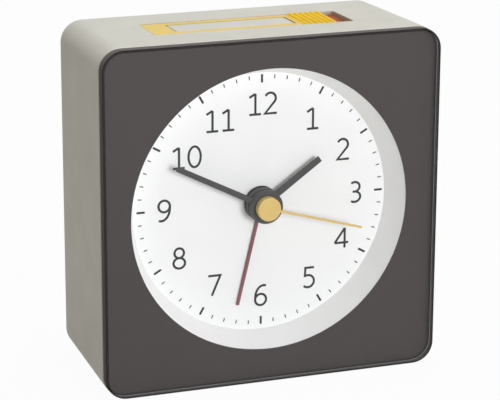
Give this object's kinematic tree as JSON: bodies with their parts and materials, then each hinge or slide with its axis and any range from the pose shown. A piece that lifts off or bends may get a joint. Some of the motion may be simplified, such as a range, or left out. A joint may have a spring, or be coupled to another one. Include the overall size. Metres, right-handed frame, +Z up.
{
  "type": "pendulette clock",
  "caption": "Square quartz table alarm clock with a clear front plate over a sunken round dial with hands, a snooze bar and slide switch on top, and a geared movement with setting knobs behind.",
  "frame": {"origin": "on the table, under the middle of the base", "axes": "+X to the clock's right seen from the front, +Y from the dial to the back, +Z up"},
  "size_m": [0.072, 0.034, 0.0725],
  "materials": {
    "case": "fine moulded texture, stone grey",
    "lens": "clear, polished",
    "mask": "anthracite, smooth",
    "ring": "white, satin",
    "dial": "matt white with printed numbers and minute marks",
    "hands": "dark grey, satin",
    "second_hand": "yellow, satin",
    "alarm_hand": "dark red, satin",
    "inlay": "light yellow, satin",
    "grip": "golden yellow, smooth",
    "flag": "brown red",
    "button": "light stone grey",
    "cover": "fine moulded texture, stone grey",
    "knob": "dark grey",
    "screw": "bright zinc",
    "movement": "black",
    "gear": "natural white",
    "magnet": "dark grey",
    "iron": "plain sheet",
    "bobbin": "red",
    "copper": "enamelled copper wire",
    "board": "green",
    "can": "bright can",
    "battery": "plain dark sleeve",
    "contact": "nickel plated",
    "buzzer": "plain disc",
    "switch": "black"
  },
  "bodies": {
    "case": {"case_shell": "case", "front_lens": "lens", "front_mask": "mask", "reveal_ring": "ring", "dial": "dial", "movement_front_plate": "movement", "movement_middle_plate": "movement", "movement_housing": "movement", "movement_screws": "screw", "rear_screws": "screw", "motor_stator": "iron", "coil_bobbin": "bobbin", "coil_winding": "copper", "circuit_board": "board", "quartz_crystal": "can", "battery": "battery", "battery_contact_positive": "contact", "battery_contact_negative": "contact", "rear_cover": "cover", "piezo_buzzer": "buzzer", "top_inlay": "inlay", "alarm_flag": "flag", "switch_board": "board", "tact_switch": "switch", "slide_switch": "switch"},
    "second_set": {"second_hand": "second_hand", "second_wheel": "gear"},
    "third_set": {"third_wheel": "gear"},
    "centre_set": {"centre_wheel": "gear"},
    "intermediate_set": {"intermediate_wheel": "gear"},
    "rotor": {"motor_rotor": "magnet"},
    "minute_set": {"minute_hand": "hands", "cannon_pinion": "gear"},
    "hour_set": {"hour_hand": "hands", "hour_wheel": "gear"},
    "time_setter": {"time_knob": "knob", "minute_wheel": "gear"},
    "alarm_set": {"alarm_hand": "alarm_hand", "alarm_wheel": "gear"},
    "alarm_setter": {"alarm_knob": "knob", "alarm_setting_wheel": "gear"},
    "slider": {"alarm_slider": "grip"},
    "snooze": {"snooze_button": "button", "tact_plunger": "switch"},
    "door": {"battery_door": "cover"}
  },
  "joints": [
    {"name": "second_turn", "type": "hinge", "parent": "case", "child": "second_set", "pos_m": [0, 0, 0.03625], "axis": [0, 1, 0], "continuous": true},
    {"name": "third_turn", "type": "hinge", "parent": "case", "child": "third_set", "pos_m": [0, 0, 0.04465], "axis": [0, 1, 0], "continuous": true},
    {"name": "centre_turn", "type": "hinge", "parent": "case", "child": "centre_set", "pos_m": [0, 0, 0.03625], "axis": [0, 1, 0], "continuous": true},
    {"name": "intermediate_turn", "type": "hinge", "parent": "case", "child": "intermediate_set", "pos_m": [-0.00761, 0, 0.0398], "axis": [0, 1, 0], "continuous": true},
    {"name": "rotor_turn", "type": "hinge", "parent": "case", "child": "rotor", "pos_m": [-0.00974, 0, 0.04437], "axis": [0, 1, 0], "continuous": true},
    {"name": "minute_turn", "type": "hinge", "parent": "case", "child": "minute_set", "pos_m": [0, 0, 0.03625], "axis": [0, 1, 0], "continuous": true},
    {"name": "hour_turn", "type": "hinge", "parent": "case", "child": "hour_set", "pos_m": [0, 0, 0.03625], "axis": [0, 1, 0], "continuous": true},
    {"name": "time_knob_turn", "type": "hinge", "parent": "case", "child": "time_setter", "pos_m": [0.00869, 0, 0.03392], "axis": [0, 1, 0], "continuous": true},
    {"name": "alarm_turn", "type": "hinge", "parent": "case", "child": "alarm_set", "pos_m": [0, 0, 0.03625], "axis": [0, 1, 0], "continuous": true},
    {"name": "alarm_knob_turn", "type": "hinge", "parent": "case", "child": "alarm_setter", "pos_m": [-0.00869, 0, 0.03392], "axis": [0, 1, 0], "continuous": true},
    {"name": "slider_slide", "type": "slide", "parent": "case", "child": "slider", "axis": [1, 0, 0], "range_m": [0, 0.003]},
    {"name": "snooze_press", "type": "slide", "parent": "case", "child": "snooze", "axis": [0, 0, -1], "range_m": [0, 0.0008], "stiffness_N_per_m": 300, "springref_m": -0.0004},
    {"name": "door_lift", "type": "slide", "parent": "case", "child": "door", "axis": [0, 1, 0], "range_m": [0, 0.02]}
  ],
  "couplings": [
    {"joint": "third_turn", "follows": "second_turn", "ratio": -0.13333},
    {"joint": "centre_turn", "follows": "second_turn", "ratio": 0.016667},
    {"joint": "intermediate_turn", "follows": "second_turn", "ratio": -6},
    {"joint": "rotor_turn", "follows": "second_turn", "ratio": 30},
    {"joint": "hour_turn", "follows": "minute_turn", "ratio": 0.083333},
    {"joint": "time_knob_turn", "follows": "minute_turn", "ratio": -0.33333},
    {"joint": "alarm_knob_turn", "follows": "alarm_turn", "ratio": -1.5}
  ]
}
